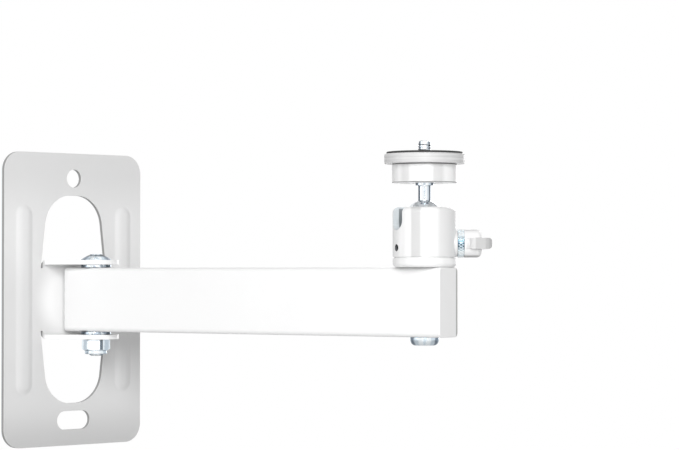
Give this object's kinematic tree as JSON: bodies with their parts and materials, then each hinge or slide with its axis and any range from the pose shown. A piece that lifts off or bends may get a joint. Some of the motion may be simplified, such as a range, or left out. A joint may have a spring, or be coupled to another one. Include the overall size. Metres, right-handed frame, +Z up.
{
  "type": "projector wall mount",
  "caption": "White steel wall plate with two folded ears, a swinging rectangular arm and a lockable ball clamp with a round screw platform for a projector.",
  "frame": {"origin": "centre of the wall plate's back face, on the wall", "axes": "+Y into the wall, -Y out into the room, +Z up"},
  "size_m": [0.1164, 0.2496, 0.156],
  "materials": {
    "plate_coat": "satin white powder coat",
    "arm_coat": "satin white powder coat",
    "clamp_coat": "satin white powder coat",
    "zinc": "bright zinc plating",
    "ball_chrome": "polished",
    "nylon": "natural nylon",
    "cap_plastic": "fine matt",
    "knob_plastic": "moulded",
    "brass": "turned",
    "rubber": "matt"
  },
  "bodies": {
    "wall_bracket": {"wall_plate": "plate_coat", "pivot_bolt": "zinc", "upper_washer": "zinc", "lower_washer": "zinc", "pivot_nut": "zinc", "nut_insert": "nylon"},
    "arm": {"arm_tube": "arm_coat", "outer_end_cap": "cap_plastic", "inner_end_cap": "cap_plastic", "pivot_sleeve": "zinc", "clamp_sleeve": "zinc", "clamp_screw": "zinc", "clamp_base": "clamp_coat", "clamp_housing": "clamp_coat", "guide_pin": "zinc", "seat_plunger": "brass"},
    "ball_lean": {"ball_liner": "nylon"},
    "ball": {"ball_stem": "ball_chrome"},
    "platform": {"platform": "clamp_coat", "rubber_pad": "rubber"},
    "lock_ring": {"lock_ring": "clamp_coat"},
    "lock_knob": {"lock_screw": "zinc", "knob_ring": "zinc", "lock_knob": "knob_plastic"}
  },
  "joints": [
    {"name": "arm_swing", "type": "hinge", "parent": "wall_bracket", "child": "arm", "pos_m": [0, -0.0215, 0], "axis": [0, 0, 1], "range_deg": [-97, 73]},
    {"name": "ball_side_lean", "type": "hinge", "parent": "arm", "child": "ball_lean", "pos_m": [0.04306, -0.22234, 0.0393], "axis": [-0.9568, 0.2907, 0], "range_deg": [-20, 20]},
    {"name": "ball_tilt", "type": "hinge", "parent": "ball_lean", "child": "ball", "pos_m": [0.04306, -0.22234, 0.0393], "axis": [-0.2907, -0.9568, 0], "range_deg": [-20, 90]},
    {"name": "platform_turn", "type": "hinge", "parent": "ball", "child": "platform", "pos_m": [0.04306, -0.22234, 0.0667], "axis": [0, 0, 1], "continuous": true},
    {"name": "lock_ring_turn", "type": "hinge", "parent": "ball", "child": "lock_ring", "pos_m": [0.04306, -0.22234, 0.0575], "axis": [0, 0, 1], "range_deg": [-360, 0]},
    {"name": "lock_knob_turn", "type": "hinge", "parent": "arm", "child": "lock_knob", "pos_m": [0.04306, -0.22234, 0.0283], "axis": [0.7206, -0.6934, 0], "range_deg": [0, 360]}
  ]
}
